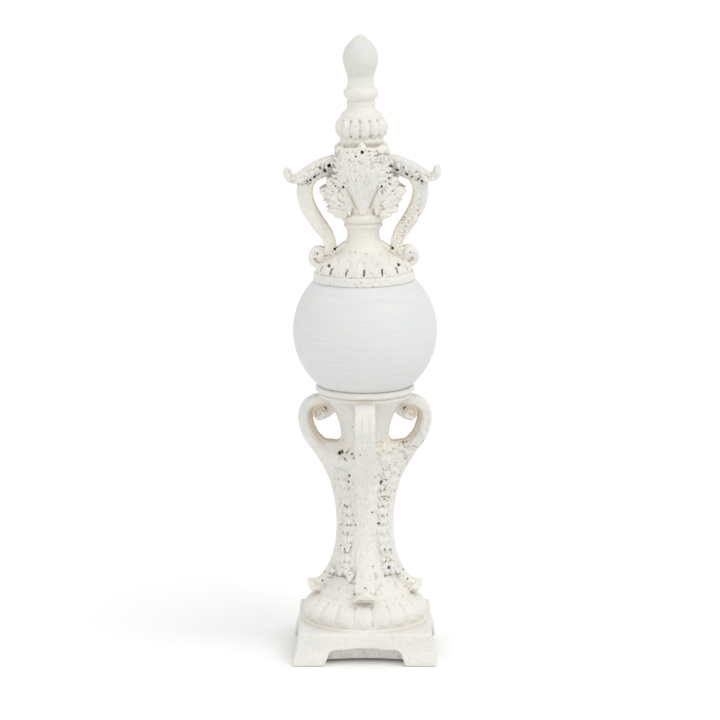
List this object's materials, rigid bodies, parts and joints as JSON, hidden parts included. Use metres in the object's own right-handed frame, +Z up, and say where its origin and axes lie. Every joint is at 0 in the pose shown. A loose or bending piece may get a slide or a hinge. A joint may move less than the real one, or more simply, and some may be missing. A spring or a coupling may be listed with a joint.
{
  "type": "finial",
  "caption": "Tall table-top finial: a square footed plinth, a shaft with scroll consoles, a plain globe, and a leafy vase crown with scroll handles under a bulb.",
  "frame": {"origin": "middle of the plinth's flat underside", "axes": "+Z up along the shaft, +X to the viewer's right in the plane of the handles, -Y towards the viewer"},
  "size_m": [0.152, 0.141, 0.61],
  "materials": {
    "ivory_paint": "distressed ivory paint on cast resin, tan to dark brown in the hollows",
    "cool_white_paint": "cool white paint with faint level brush lines"
  },
  "bodies": {
    "root": {"pedestal": "ivory_paint", "globe": "cool_white_paint", "crown": "ivory_paint"}
  },
  "joints": []
}
